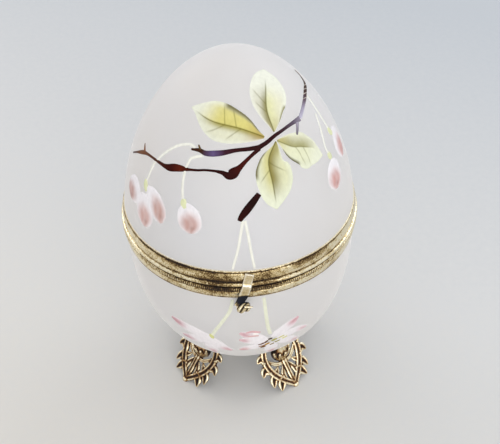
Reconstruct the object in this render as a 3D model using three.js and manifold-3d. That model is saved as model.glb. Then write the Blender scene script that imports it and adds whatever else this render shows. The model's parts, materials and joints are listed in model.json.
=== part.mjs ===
// Egg-shaped glass trinket box: two satin glass shells in gilt brass rims, hinged at the back,
// closed by a strap clasp at the front and standing on four pierced leaf feet.
// Millimetres, +Z up, origin on the egg's axis at the ground, front of the box towards -Y.
import * as THREE from 'three';
import { mergeVertices } from 'three/addons/utils/BufferGeometryUtils.js';
import Module from 'manifold-3d';

const wasm = await Module();
wasm.setup();

// Driving dimensions
const FACETS = 32; // sides of every turned piece, so that shells and rims share their facets
const GAP = 0.3; // clearance between neighbouring pieces
const OUTER_STEPS = 9; // rings of facets up the outside of a glass shell
const INNER_STEPS = 5; // and up its inside
const EGG_RADIUS = 42;
const WIDEST_HEIGHT = 73.3; // height of the widest plane above the ground
const LID_REACH = 67.4; // from the widest plane to the top
const BASE_REACH = 62.2; // from the widest plane to the underside of the glass
const LID_POWERS = [1.94, 0.57]; // roundness of the egg above the widest plane
const BASE_POWERS = [2.68, 0.5]; // and below it
const WALL = 2.8; // glass thickness
const SEAM_HEIGHT = 76.2; // where lid and base meet
const RIM_REBATE_RADIUS = 41; // the glass is ground back to this radius under the rims
const RIM_INNER_RADIUS = RIM_REBATE_RADIUS + GAP;
const LID_RIM_HEIGHT = 6.5;
const BASE_RIM_HEIGHT = 5.3;
const FLANGE = 0.8; // thickness of the flat ring between the two glass rims
const LIP_RADII = [38.2, 38.8]; // turned-in lip that covers the inner edge of the glass
const LIP_HEIGHT = 2.4;
const BEAD_RADIUS = 43.1;
const FOOT_COUNT = 4;
const FOOT_TURN = -6.5; // degrees by which the feet are set round from the diagonals
const TOE_RADIUS = 31.5; // distance of each toe from the egg's axis
const HINGE_AXIS_Y = 45.9;
const KNUCKLE_RADIUS = 1.7;
const PIN_RADIUS = 0.75;
const CLASP_LEAN = 13; // degrees, bent sideways by use

const glass = { color: 0xd9dadd, roughness: 0.5, metalness: 0 };
const paleGilt = { color: 0xb9a277, roughness: 0.38, metalness: 1 };
const brightBrass = { color: 0xd8c690, roughness: 0.3, metalness: 1 };
const antiqueGilt = { color: 0x8f6f3f, roughness: 0.4, metalness: 1 };

const degrees = THREE.MathUtils.degToRad;

function piece(name, geometry, finish) {
  const mesh = new THREE.Mesh(geometry, new THREE.MeshStandardMaterial(finish));
  mesh.name = name;
  return mesh;
}

// A turned form about the Z axis from [radius, height] pairs, run from the top down the outside.
function turned(profile, sides = FACETS) {
  const points = profile.map(([radius, height]) => new THREE.Vector2(radius, -height));
  return new THREE.LatheGeometry(points, sides).rotateX(-Math.PI / 2);
}

function toSolid(geometry) {
  const bare = geometry.clone();
  bare.deleteAttribute('normal');
  bare.deleteAttribute('uv');
  const merged = mergeVertices(bare, 1e-4);
  const corners = merged.index.array;
  const kept = [];
  for (let i = 0; i < corners.length; i += 3) {
    const [a, b, c] = corners.slice(i, i + 3);
    if (a !== b && b !== c && c !== a) {
      kept.push(a, b, c);
    }
  }
  return new wasm.Manifold(new wasm.Mesh({
    numProp: 3,
    vertProperties: merged.attributes.position.array,
    triVerts: Uint32Array.from(kept),
  }));
}

function toGeometry(solid) {
  const mesh = solid.getMesh();
  const geometry = new THREE.BufferGeometry();
  geometry.setAttribute('position', new THREE.BufferAttribute(mesh.vertProperties, 3));
  geometry.setIndex(new THREE.BufferAttribute(mesh.triVerts, 1));
  geometry.computeVertexNormals();
  return geometry;
}

function joined(geometries) {
  return geometries.map(toSolid).reduce((whole, next) => whole.add(next));
}

// Egg profile: radius at a signed height from the widest plane, shrunk inwards by an offset.
function eggRadius(height, inset) {
  const [reach, [rise, fullness]] = height > 0 ? [LID_REACH, LID_POWERS] : [BASE_REACH, BASE_POWERS];
  const part = Math.min(1, Math.abs(height) / (reach - inset));
  return (EGG_RADIUS - inset) * (1 - part ** rise) ** fullness;
}

// Points of the profile from the pole towards the rim, closer together near the pole.
function eggCurve(side, rimHeight, inset, steps) {
  const reach = (side > 0 ? LID_REACH : BASE_REACH) - inset;
  const rimAngle = Math.acos(Math.min(1, Math.abs(rimHeight) / reach));
  const points = [];
  for (let step = 0; step <= steps; step += 1) {
    const height = side * reach * Math.cos((rimAngle * step) / steps);
    const radius = step === 0 ? 0 : eggRadius(height, inset);
    points.push([radius, WIDEST_HEIGHT + height]);
  }
  return points;
}

function lidGlass() {
  const rim = SEAM_HEIGHT + GAP / 2 + FLANGE + GAP;
  const shoulder = SEAM_HEIGHT + LID_RIM_HEIGHT + GAP;
  const outside = eggCurve(1, shoulder - WIDEST_HEIGHT, 0, OUTER_STEPS);
  const inside = eggCurve(1, rim - WIDEST_HEIGHT, WALL, INNER_STEPS).reverse();
  return turned([
    ...outside,
    [RIM_REBATE_RADIUS, shoulder],
    [RIM_REBATE_RADIUS, rim],
    ...inside,
  ]);
}

function baseGlass() {
  const rim = SEAM_HEIGHT - GAP / 2 - FLANGE - GAP;
  const shoulder = SEAM_HEIGHT - BASE_RIM_HEIGHT - GAP;
  const outside = eggCurve(-1, shoulder - WIDEST_HEIGHT, 0, OUTER_STEPS).reverse();
  const inside = eggCurve(-1, 0, WALL, INNER_STEPS);
  return turned([
    ...inside,
    [EGG_RADIUS - WALL, rim],
    [RIM_REBATE_RADIUS, rim],
    [RIM_REBATE_RADIUS, shoulder],
    ...outside,
  ]);
}

// Both rims wrap the edge of the glass: an outer wall, a flat flange and a short inner lip.
function lidRim() {
  const seam = SEAM_HEIGHT + GAP / 2;
  const top = SEAM_HEIGHT + LID_RIM_HEIGHT;
  return turned([
    [RIM_INNER_RADIUS, top],
    [41.7, top],
    [42.0, top - 0.7],
    [42.45, SEAM_HEIGHT + 3.6],
    [42.45, SEAM_HEIGHT + 2.4],
    [42.1, SEAM_HEIGHT + 2.1],
    [BEAD_RADIUS, SEAM_HEIGHT + 1.6],
    [BEAD_RADIUS, SEAM_HEIGHT + 0.6],
    [42.7, seam],
    [LIP_RADII[0], seam],
    [LIP_RADII[0], seam + LIP_HEIGHT],
    [LIP_RADII[1], seam + LIP_HEIGHT],
    [LIP_RADII[1], seam + FLANGE],
    [RIM_INNER_RADIUS, seam + FLANGE],
    [RIM_INNER_RADIUS, top],
  ]);
}

function baseRim() {
  const seam = SEAM_HEIGHT - GAP / 2;
  const foot = SEAM_HEIGHT - BASE_RIM_HEIGHT;
  return turned([
    [LIP_RADII[0], seam],
    [42.6, seam],
    [BEAD_RADIUS, SEAM_HEIGHT - 0.5],
    [BEAD_RADIUS, SEAM_HEIGHT - 1.5],
    [42.3, SEAM_HEIGHT - 2],
    [42.6, SEAM_HEIGHT - 2.4],
    [42.5, foot + 0.6],
    [42.2, foot],
    [RIM_INNER_RADIUS, foot],
    [RIM_INNER_RADIUS, seam - FLANGE],
    [LIP_RADII[1], seam - FLANGE],
    [LIP_RADII[1], seam - LIP_HEIGHT],
    [LIP_RADII[0], seam - LIP_HEIGHT],
    [LIP_RADII[0], seam],
  ]);
}

// Clasp: a strap down over both rims that kicks out into a ribbed thumb roll.
function clasp() {
  const width = 3.2;
  const thickness = 0.8;
  const clear = BEAD_RADIUS + GAP + thickness / 2;
  const line = [
    [42.7, 82.5],
    [43.2, 78.6],
    [clear, 77.6],
    [clear, 74.6],
    [44.1, 72.4],
    [45.5, 69.6],
  ].map(([reach, height]) => new THREE.Vector2(reach, height));
  const outer = [];
  const inner = [];
  line.forEach((point, i) => {
    const along = line[Math.min(i + 1, line.length - 1)].clone().sub(line[Math.max(i - 1, 0)]).normalize();
    const across = new THREE.Vector2(-along.y, along.x).multiplyScalar(thickness / 2);
    outer.push(point.clone().add(across));
    inner.unshift(point.clone().sub(across));
  });
  const strap = new THREE.ExtrudeGeometry(new THREE.Shape([...outer, ...inner]), {
    depth: width,
    bevelEnabled: false,
  });
  strap.translate(0, 0, -width / 2).rotateX(Math.PI / 2).rotateZ(-Math.PI / 2);

  const rollRadius = 1.45;
  const rollLength = 4.7;
  const ribs = 3;
  const profile = [[0, rollLength / 2]];
  for (let rib = 0; rib < ribs; rib += 1) {
    const middle = rollLength / 2 - ((rib + 0.5) * rollLength) / ribs;
    const half = (rollLength / ribs) * 0.36;
    profile.push([rollRadius * 0.8, middle + half * 1.3]);
    profile.push([rollRadius, middle + half * 0.6]);
    profile.push([rollRadius, middle - half * 0.6]);
  }
  profile.push([rollRadius * 0.75, -rollLength / 2], [0, -rollLength / 2]);
  const roll = turned(profile, 8).rotateY(Math.PI / 2).translate(0.4, -45.9, 69.3);
  const spur = new THREE.ConeGeometry(0.7, 2.4, 6).rotateX(Math.PI / 2).rotateY(1.1);
  spur.translate(2.8, -45.9, 69.9);

  return toGeometry(joined([strap, roll, spur]))
    .translate(0, 0, -77)
    .rotateY(degrees(CLASP_LEAN))
    .translate(0.2, 0, 77);
}

// Hinge: leaves soldered to the rims, the lid's knuckle between the base's two, one pin.
const HINGE_WIDTH = 14;
const LID_KNUCKLE_WIDTH = 4.6;
const LEAF_THICKNESS = 0.8;
const LEAF_FACE = BEAD_RADIUS + GAP;
const BORE_RADIUS = PIN_RADIUS + 0.15;
const HINGE_SIDES = 12;

function acrossHinge(geometry) {
  return geometry.rotateY(Math.PI / 2).translate(0, HINGE_AXIS_Y, SEAM_HEIGHT);
}

function knuckle(from, to) {
  return acrossHinge(turned([
    [0, to],
    [KNUCKLE_RADIUS, to],
    [KNUCKLE_RADIUS, from],
    [0, from],
  ], HINGE_SIDES));
}

// The space of the rims, grown by the gap, that the backs of the leaves are shaped to.
function rimSpace() {
  return turned([
    [0, SEAM_HEIGHT + 10],
    [42.75, SEAM_HEIGHT + 10],
    [42.75, SEAM_HEIGHT + 2.2],
    [LEAF_FACE, SEAM_HEIGHT + 1.8],
    [LEAF_FACE, SEAM_HEIGHT - 1.8],
    [42.9, SEAM_HEIGHT - 2.2],
    [42.9, SEAM_HEIGHT - 10],
    [0, SEAM_HEIGHT - 10],
  ]);
}

// A leaf above (side 1) or below (side -1) the seam, with a stem out to each of its knuckles.
function hingeLeaf(side, knuckles, height) {
  const clear = KNUCKLE_RADIUS + GAP;
  const depth = LEAF_THICKNESS + 1.5;
  const plate = new THREE.BoxGeometry(HINGE_WIDTH, depth, height - clear);
  plate.translate(0, LEAF_FACE + LEAF_THICKNESS - depth / 2, SEAM_HEIGHT + (side * (clear + height)) / 2);
  const parts = [plate];
  const stemDepth = HINGE_AXIS_Y - LEAF_FACE - PIN_RADIUS;
  const stemHeight = clear + 0.5;
  for (const [from, to] of knuckles) {
    const stem = new THREE.BoxGeometry(to - from, stemDepth, stemHeight);
    stem.translate((from + to) / 2, LEAF_FACE + stemDepth / 2, SEAM_HEIGHT + (side * stemHeight) / 2);
    parts.push(stem, knuckle(from, to));
  }
  const bore = acrossHinge(turned([
    [0, HINGE_WIDTH],
    [BORE_RADIUS, HINGE_WIDTH],
    [BORE_RADIUS, -HINGE_WIDTH],
    [0, -HINGE_WIDTH],
  ], HINGE_SIDES));
  return toGeometry(joined(parts).subtract(joined([bore, rimSpace()])));
}

function lidHingeLeaf() {
  const half = LID_KNUCKLE_WIDTH / 2;
  return hingeLeaf(1, [[-half, half]], 5.6);
}

function baseHingeLeaf() {
  const near = LID_KNUCKLE_WIDTH / 2 + GAP;
  const far = HINGE_WIDTH / 2;
  return hingeLeaf(-1, [[-far, -near], [near, far]], 4.9);
}

function hingePin() {
  const end = HINGE_WIDTH / 2 + GAP;
  const head = 0.7;
  const headRadius = 1.15;
  return acrossHinge(turned([
    [0, end + head],
    [headRadius, end + head * 0.6],
    [headRadius, end],
    [PIN_RADIUS, end],
    [PIN_RADIUS, -end],
    [headRadius, -end],
    [headRadius, -end - head * 0.6],
    [0, -end - head],
  ], HINGE_SIDES));
}

// Feet. Each is a pierced leaf that leans in from its toe: x runs across it, z is the height.
function leafPoint(across, height) {
  const rise = Math.max(0, height - 0.8);
  const lean = 1.05 * rise - 0.02 * rise ** 2;
  return new THREE.Vector3(across, -(TOE_RADIUS - lean), height);
}

function leafCurve(points) {
  return new THREE.CatmullRomCurve3(points.map(([across, height]) => leafPoint(across, height)));
}

// A closed bar along a curve in the leaf, of half-width `wide` from start to tip and flattened.
function bar(points, steps, sides, [start, tip], flat = 0.8) {
  const curve = leafCurve(points);
  const front = new THREE.Vector3(0, -1, 0.85).normalize();
  const positions = [];
  const index = [];
  for (let step = 0; step <= steps; step += 1) {
    const along = step / steps;
    const centre = curve.getPoint(along);
    const side = curve.getTangent(along).cross(front).normalize();
    const out = side.clone().cross(curve.getTangent(along));
    const size = start + (tip - start) * along;
    for (let corner = 0; corner < sides; corner += 1) {
      const turn = ((corner + 0.5) * 2 * Math.PI) / sides;
      const spot = centre.clone();
      spot.addScaledVector(side, size * Math.cos(turn));
      spot.addScaledVector(out, size * flat * Math.sin(turn));
      positions.push(spot.x, spot.y, spot.z);
      if (step > 0) {
        const next = (corner + 1) % sides;
        const low = (step - 1) * sides;
        const high = step * sides;
        index.push(low + corner, high + corner, low + next);
        index.push(low + next, high + corner, high + next);
      }
    }
  }
  const last = steps * sides;
  for (let corner = 1; corner < sides - 1; corner += 1) {
    index.push(0, corner, corner + 1);
    index.push(last, last + corner + 1, last + corner);
  }
  const geometry = new THREE.BufferGeometry();
  geometry.setAttribute('position', new THREE.Float32BufferAttribute(positions, 3));
  geometry.setIndex(index);
  return geometry;
}

function mirroredPair(points, ...shape) {
  const other = points.map(([across, height]) => [-across, height]);
  return [bar(points, ...shape), bar(other, ...shape)];
}

function footSolid() {
  const midrib = bar([[0, 0.3], [0, 4.5], [0, 9.5]], 2, 4, [1.2, 1.3], 0.9);
  const sideBar = [[0, 0.5], [3.9, 3.5], [6.7, 6.6], [8.1, 10.2], [7.9, 13.8], [6, 18.4]];
  const arm = [[0.3, 8.3], [3.4, 8.8], [5.6, 10.2], [7.8, 12.2]];
  const innerLeaves = [
    [[3.2, 3.2], [2.7, 5.2], [1.3, 7.6]],
    [[6.4, 6.4], [5, 7], [3.6, 8]],
  ];
  // claw-like spikes outside the side bars, from the lowest to the one under the glass
  const spikes = [
    [[2.9, 3], [4.2, 2.2], [5.2, 0.4]],
    [[4.9, 4.7], [7.2, 3.3], [8.3, 0.3]],
    [[6.7, 7.2], [8.9, 6.9], [10.1, 5.8]],
    [[7.9, 11], [10.1, 10.9], [11.6, 9.6]],
    [[7.6, 14.2], [9.1, 14.8], [10.4, 14.3]],
  ];
  const bossPlace = leafPoint(0, 11.8);
  const boss = turned([[0, 11], [3.5, 11], [2.7, 4], [4, 0.6], [3.1, -2.6], [0, -3.8]], 8);
  boss.scale(1, 0.8, 1).translate(bossPlace.x, bossPlace.y + 0.4, bossPlace.z);
  const toe = new THREE.CylinderGeometry(1.5, 1.8, 1.4, 6).rotateX(Math.PI / 2);
  toe.translate(0, -TOE_RADIUS, 0.7);
  return joined([
    midrib,
    ...mirroredPair(sideBar, 6, 4, [1.15, 1.15]),
    ...mirroredPair(arm, 3, 4, [0.9, 0.7]),
    ...innerLeaves.flatMap((leaf) => mirroredPair(leaf, 2, 3, [1.1, 0.4])),
    ...spikes.flatMap((spike) => mirroredPair(spike, 2, 3, [1.3, 0.35])),
    boss,
    toe,
  ]);
}

// What the feet must keep clear of: the glass above them, grown by the gap, and the ground.
function clearSpace() {
  const egg = turned([
    [0, WIDEST_HEIGHT],
    ...eggCurve(-1, 0, -GAP, OUTER_STEPS).reverse(),
  ]);
  const ground = new THREE.BoxGeometry(200, 200, 20).translate(0, 0, -10);
  return joined([egg, ground]);
}

function foot(turn, space) {
  const whole = footSolid().rotate([0, 0, turn]);
  return toGeometry(whole.subtract(space));
}

const box = new THREE.Group();
box.add(piece('lid_glass', lidGlass(), glass));
box.add(piece('base_glass', baseGlass(), glass));
box.add(piece('lid_rim', lidRim(), paleGilt));
box.add(piece('base_rim', baseRim(), paleGilt));
box.add(piece('clasp', clasp(), brightBrass));
box.add(piece('hinge_leaf_lid', lidHingeLeaf(), paleGilt));
box.add(piece('hinge_leaf_base', baseHingeLeaf(), paleGilt));
box.add(piece('hinge_pin', hingePin(), brightBrass));

const space = clearSpace();
const footNames = ['foot_front_left', 'foot_front_right', 'foot_back_right', 'foot_back_left'];
footNames.forEach((name, i) => {
  const turn = FOOT_TURN - 45 + (i * 360) / FOOT_COUNT;
  box.add(piece(name, foot(turn, space), antiqueGilt));
});

export default box;
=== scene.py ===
"""Looks of the hinged satin glass egg box, built around the frame of its solids.

Shapes are worked out in millimetres in the frame's own axes: +Z up along the egg's axis, the front
with its clasp towards -Y. Places on the egg are given by azimuth (degrees round from the front,
towards +X) and height. Points become metres where each mesh is made.
"""
import json
import math

import bmesh
import bpy
import numpy as np
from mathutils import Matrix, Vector


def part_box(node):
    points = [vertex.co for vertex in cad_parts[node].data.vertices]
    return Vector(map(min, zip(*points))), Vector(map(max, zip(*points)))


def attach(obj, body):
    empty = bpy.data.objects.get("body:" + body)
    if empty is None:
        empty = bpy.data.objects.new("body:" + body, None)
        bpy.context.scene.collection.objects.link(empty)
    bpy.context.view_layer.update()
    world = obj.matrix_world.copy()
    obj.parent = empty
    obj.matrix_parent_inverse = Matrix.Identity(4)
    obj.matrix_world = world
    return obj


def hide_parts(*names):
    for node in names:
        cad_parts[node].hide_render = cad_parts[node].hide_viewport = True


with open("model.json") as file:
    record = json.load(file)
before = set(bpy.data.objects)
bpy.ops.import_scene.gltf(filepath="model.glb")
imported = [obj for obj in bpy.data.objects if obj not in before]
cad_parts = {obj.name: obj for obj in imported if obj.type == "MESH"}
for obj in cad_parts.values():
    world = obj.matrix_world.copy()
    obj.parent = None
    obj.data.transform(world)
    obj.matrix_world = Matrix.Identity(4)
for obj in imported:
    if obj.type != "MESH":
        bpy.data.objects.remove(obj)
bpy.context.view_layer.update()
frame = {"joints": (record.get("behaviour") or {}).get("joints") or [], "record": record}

MM = 0.001


def node_box(node):
    low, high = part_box(node)
    return np.array(low) / MM, np.array(high) / MM


# Places taken from the frame
HINGE = frame["joints"][0]
SEAM = HINGE["pos_m"][2] / MM
HINGE_Y = HINGE["pos_m"][1] / MM
EGG_TOP = node_box("lid_glass")[1][2]
EGG_BOTTOM = node_box("base_glass")[0][2]
LID_RIM_TOP = node_box("lid_rim")[1][2]
BASE_RIM_FOOT = node_box("base_rim")[0][2]
BEAD_RADIUS = node_box("lid_rim")[1][0]
TOES = {m["name"]: np.array(m["pos_m"]) / MM for m in frame["record"]["mounts"]}

# Driving sizes of the glass
EGG_RADIUS = 42.0
WIDEST = 73.3
WALL = 2.8
LID_POWERS = (1.94, 0.57)
BASE_POWERS = (2.68, 0.5)
RIM_REBATE = 41.0
GLASS_SEGMENTS = 192

ENAMEL = 0.09  # how far the painted enamel stands on the glass
ENAMEL_ROOT = 0.06  # how far its underside lies below the surface
BROAD_GRAIN = 0.2  # mesh spacing of leaves, buds and petals
FINE_GRAIN = 0.16  # mesh spacing of twigs and stems


# ---------------------------------------------------------------- numbers and curves


def tone(code):
    """Linear colour of an sRGB code such as 'c8b27a'."""
    parts = np.array([int(code[i : i + 2], 16) / 255 for i in (0, 2, 4)])
    return np.where(parts <= 0.04045, parts / 12.92, ((parts + 0.055) / 1.055) ** 2.4)


def mix(first, second, share):
    share = np.asarray(share)[..., None]
    return np.asarray(first) * (1 - share) + np.asarray(second) * share


def ease(start, end, value):
    """0 before start, 1 after end, and smooth between them."""
    share = np.clip((np.asarray(value, float) - start) / (end - start), 0, 1)
    return share * share * (3 - 2 * share)


def hump(value, centre, width):
    return np.exp(-(((np.asarray(value, float) - centre) / width) ** 2))


def unit(vectors):
    vectors = np.asarray(vectors, float)
    return vectors / np.maximum(np.linalg.norm(vectors, axis=-1, keepdims=True), 1e-12)


def through(points, places):
    """Smooth curve through the points, read at places counted from 0 to the last point."""
    points = np.asarray(points, float).reshape(len(points), -1)
    held = np.vstack([2 * points[0] - points[1], points, 2 * points[-1] - points[-2]])
    first = np.minimum(np.asarray(places).astype(int), len(points) - 2)
    f = (places - first)[:, None]
    a, b, c, d = held[first], held[first + 1], held[first + 2], held[first + 3]
    bend = (2 * a - 5 * b + 4 * c - d) * f**2 + (3 * b - a - 3 * c + d) * f**3
    return 0.5 * (2 * b + (c - a) * f + bend)


def spline(points, count):
    """Evenly spaced points along the smooth curve through the given points."""
    dense = through(points, np.linspace(0, len(points) - 1, 24 * len(points)))
    length = np.r_[0, np.cumsum(np.linalg.norm(np.diff(dense, axis=0), axis=1))]
    even = np.linspace(0, length[-1], count)
    return np.stack([np.interp(even, length, column) for column in dense.T], 1)


def eased_values(values, count):
    """The values, given at even steps, read smoothly at count places."""
    return through(values, np.linspace(0, len(values) - 1, count))[:, 0]


# ---------------------------------------------------------------- the egg's surface


def egg_curving(level):
    """Distance from the widest place to the pole, and the two powers, for levels above or below it."""
    reaches = (EGG_TOP - WIDEST, WIDEST - EGG_BOTTOM)
    return [np.where(level > 0, lid, base) for lid, base in (reaches, *zip(LID_POWERS, BASE_POWERS))]


def egg_radius(height, inset=0.0):
    level = np.asarray(height, float) - WIDEST
    reach, rise, fullness = egg_curving(level)
    part = np.clip(np.abs(level) / (reach - inset), 0, 1)
    return (EGG_RADIUS - inset) * (1 - part**rise) ** fullness


def egg_places(places):
    """Points on the egg for (azimuth, height) pairs."""
    azimuth, height = np.asarray(places, float).T
    turn = np.radians(azimuth)
    radius = egg_radius(height)
    return np.stack([radius * np.sin(turn), -radius * np.cos(turn), height], -1)


def onto_egg(points):
    """Moves points near the egg onto its surface, and gives the outward normals there."""
    shape = points.shape
    points = points.reshape(-1, 3).copy()
    for _ in range(5):
        level = points[:, 2] - WIDEST
        reach, rise, fullness = egg_curving(level)
        power = 1 / fullness
        across = np.maximum(np.hypot(points[:, 0], points[:, 1]), 1e-6)
        part = np.abs(level) / reach
        excess = (across / EGG_RADIUS) ** power + part**rise - 1
        slope = power / EGG_RADIUS * (across / EGG_RADIUS) ** (power - 1)
        climb = np.sign(level) * rise / reach * part ** (rise - 1)
        sideways = points[:, :2] / across[:, None] * slope[:, None]
        steepest = np.column_stack([sideways, climb])
        points -= steepest * (excess / (steepest**2).sum(1))[:, None]
    return points.reshape(shape), unit(steepest).reshape(shape)


def egg_curve(low, high, inset, steps):
    """(radius, height) pairs up the egg from low to high, closer together near a pole."""
    pole = EGG_TOP - inset if high > WIDEST + 10 else EGG_BOTTOM + inset
    rim = low if high > WIDEST + 10 else high
    angle = math.acos((rim - WIDEST) / (pole - WIDEST))
    heights = WIDEST + (pole - WIDEST) * np.cos(np.linspace(0, angle, steps + 1))
    radii = egg_radius(heights, inset)
    radii[0] = 0
    return np.column_stack([radii, heights])


# ---------------------------------------------------------------- meshes


def grid_faces(rows, columns, wrap_rows=False, wrap_columns=False):
    """Quads of a grid of rows by columns points, closed round where it wraps."""
    i = np.arange(rows if wrap_rows else rows - 1)[:, None]
    j = np.arange(columns if wrap_columns else columns - 1)[None, :]
    down, right = (i + 1) % rows, (j + 1) % columns
    corners = [i * columns + j, i * columns + right, down * columns + right, down * columns + j]
    return np.stack([np.broadcast_to(c, (len(i), j.shape[1])) for c in corners], -1).reshape(-1, 4)


def capped_faces(rows, sides):
    """Faces round a row of rings, closed at both ends."""
    last = rows * sides - 1
    ends = [list(range(sides)), list(range(last, last - sides, -1))]
    return [list(f) for f in grid_faces(rows, sides, wrap_columns=True)] + ends


class Shape:
    """Points, faces and one value or colour a point, gathered from several closed forms."""

    def __init__(self):
        self.points = []
        self.faces = []
        self.values = []
        self.materials = []
        self.count = 0

    def add(self, points, faces, values=0.0, material=0):
        points = np.asarray(points, float).reshape(-1, 3)
        values = np.asarray(values, float)
        if values.ndim == 0:
            values = np.full(len(points), float(values))
        self.points.append(points)
        self.faces += [[self.count + corner for corner in face] for face in np.asarray(faces, object)]
        self.values.append(values.reshape(len(points), -1))
        self.materials += [material] * len(faces)
        self.count += len(points)
        return self


def plain_mesh(name, shape, weld=False):
    mesh = bpy.data.meshes.new(name)
    mesh.from_pydata((np.vstack(shape.points) * MM).tolist(), [], shape.faces)
    mesh.polygons.foreach_set("material_index", shape.materials)
    edit = bmesh.new()
    edit.from_mesh(mesh)
    if weld:
        bmesh.ops.remove_doubles(edit, verts=edit.verts, dist=1e-8)
    bmesh.ops.recalc_face_normals(edit, faces=edit.faces)
    edit.to_mesh(mesh)
    edit.free()
    return mesh


def point_values(mesh, name, values):
    """Keeps one number, or one colour, a point on the mesh under that name."""
    values = np.asarray(values, np.float32).reshape(len(mesh.vertices), -1)
    if values.shape[1] == 1:
        mesh.attributes.new(name, "FLOAT", "POINT").data.foreach_set("value", values.ravel())
    else:
        full = np.column_stack([values, np.ones(len(values), np.float32)])
        mesh.attributes.new(name, "FLOAT_COLOR", "POINT").data.foreach_set("color", full.ravel())


def piece(mesh, materials, body, replaced=(), sharp=40):
    """Puts a mesh in the scene as a piece that rides on a body."""
    for material in materials:
        mesh.materials.append(material)
    mesh.shade_smooth()
    mesh.set_sharp_from_angle(angle=math.radians(sharp))
    placed = bpy.data.objects.new(mesh.name, mesh)
    bpy.context.scene.collection.objects.link(placed)
    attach(placed, body)
    if replaced:
        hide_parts(*replaced)
    return placed


def shape_piece(name, shape, attribute, materials, body, replaced=(), sharp=40):
    mesh = plain_mesh(name, shape)
    point_values(mesh, attribute, np.vstack(shape.values))
    return piece(mesh, materials, body, replaced, sharp)


def lathe(profile, segments, ripple=0.0, closed=True):
    """A profile of (radius, height) pairs turned about the egg's axis from the front."""
    profile = np.asarray(profile, float)
    turn = np.linspace(0, 2 * math.pi, segments, endpoint=False)[:, None]
    radius = profile[None, :, 0] + ripple
    height = profile[None, :, 1] + 0 * turn
    points = np.stack([radius * np.sin(turn), -radius * np.cos(turn), height], -1)
    return points, grid_faces(segments, len(profile), wrap_rows=True, wrap_columns=closed)


def arc(centre, radius, start, end, steps):
    """(radius, height) pairs of an arc, its angles in degrees from straight outwards."""
    angles = np.radians(np.linspace(start, end, steps + 1))
    return [(centre[0] + radius * math.cos(a), centre[1] + radius * math.sin(a)) for a in angles]


def ball(centre, radii, turn_x=0.0, turn_z=0.0, rings=10, sides=16):
    """A closed ellipsoid, tipped about X and then turned about Z, in degrees."""
    pole = 0.12  # angle from the axis to the first ring
    polar = np.linspace(pole, math.pi - pole, rings)[:, None]
    turn = np.linspace(0, 2 * math.pi, sides, endpoint=False)[None, :]
    across = np.sin(polar)
    spots = np.stack([across * np.cos(turn), across * np.sin(turn), np.cos(polar) + 0 * turn], -1)
    spots = spots.reshape(-1, 3) * np.asarray(radii, float)
    spots = turned(turned(spots, turn_x, 0), turn_z, 2) + np.asarray(centre, float)
    return spots, capped_faces(rings, sides)


def turned(points, angle, axis):
    """Points turned by degrees about X (0), Y (1) or Z (2)."""
    c, s = math.cos(math.radians(angle)), math.sin(math.radians(angle))
    first, second = [(1, 2), (2, 0), (0, 1)][axis]
    result = np.array(points, float)
    result[..., first] = points[..., first] * c - points[..., second] * s
    result[..., second] = points[..., first] * s + points[..., second] * c
    return result


def tube(centre, side, out, sizes, section):
    """A closed bar: the section's (side, out) pairs, scaled by each size, along the centre line."""
    rings = centre[:, None] + sizes[:, None, None] * (
        section[None, :, :1] * side[:, None] + section[None, :, 1:] * out[:, None]
    )
    return rings.reshape(-1, 3), capped_faces(*rings.shape[:2])


def block(low, high):
    corners = np.array([[x, y, z] for x in (0, 1) for y in (0, 1) for z in (0, 1)], float)
    faces = [[0, 1, 3, 2], [4, 6, 7, 5], [0, 4, 5, 1], [2, 3, 7, 6], [0, 2, 6, 4], [1, 5, 7, 3]]
    return np.asarray(low) + corners * (np.asarray(high, float) - np.asarray(low)), faces


def scratch_object(name, shape):
    made = bpy.data.objects.new(name, plain_mesh(name, shape))
    bpy.context.scene.collection.objects.link(made)
    return made


def cast(name, shape, voxel, cutters, softening=2):
    """One smooth closed mesh from overlapping forms, as if cast, with the cutters' space cut away."""
    rough = scratch_object(name + "_rough", shape)
    tools = [scratch_object(f"{name}_cut{i}", cutter) for i, cutter in enumerate(cutters)]
    remesh = rough.modifiers.new("join", "REMESH")
    remesh.mode = "VOXEL"
    remesh.voxel_size = voxel * MM
    smooth = rough.modifiers.new("soften", "SMOOTH")
    smooth.factor = 0.5
    smooth.iterations = softening
    for tool in tools:
        cut = rough.modifiers.new("cut", "BOOLEAN")
        cut.operation = "DIFFERENCE"
        cut.solver = "MANIFOLD"
        cut.object = tool
    graph = bpy.context.evaluated_depsgraph_get()
    mesh = bpy.data.meshes.new_from_object(rough.evaluated_get(graph))
    mesh.name = name
    mesh.materials.clear()
    mesh.polygons.foreach_set("material_index", [0] * len(mesh.polygons))
    for made in [rough, *tools]:
        bpy.data.objects.remove(made)
    return mesh


def read_vectors(items, name):
    values = np.zeros(len(items) * 3, np.float32)
    items.foreach_get(name, values)
    return values.reshape(-1, 3).astype(float)


def mesh_points(mesh):
    return read_vectors(mesh.vertices, "co") / MM


def mesh_normals(mesh):
    return read_vectors(mesh.vertex_normals, "vector")


def hollowness(mesh, rounds):
    """How far each point lies below its smoothed surroundings: under 0 on ridges, to 1 in hollows."""
    edges = np.zeros(len(mesh.edges) * 2, np.int32)
    mesh.edges.foreach_get("vertices", edges)
    ends = edges.reshape(-1, 2)
    ends = np.vstack([ends, ends[:, ::-1]])
    points = mesh_points(mesh)
    neighbours = np.maximum(np.bincount(ends[:, 0], minlength=len(points)), 1)
    smooth = points
    for _ in range(rounds):
        columns = [np.bincount(ends[:, 0], smooth[ends[:, 1], k], len(points)) for k in range(3)]
        smooth = np.stack(columns, 1) / neighbours[:, None]
    depth = ((smooth - points) * mesh_normals(mesh)).sum(1)
    return np.clip(depth / max(np.percentile(np.abs(depth), 95), 1e-9), -1, 1)


# ---------------------------------------------------------------- materials


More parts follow.
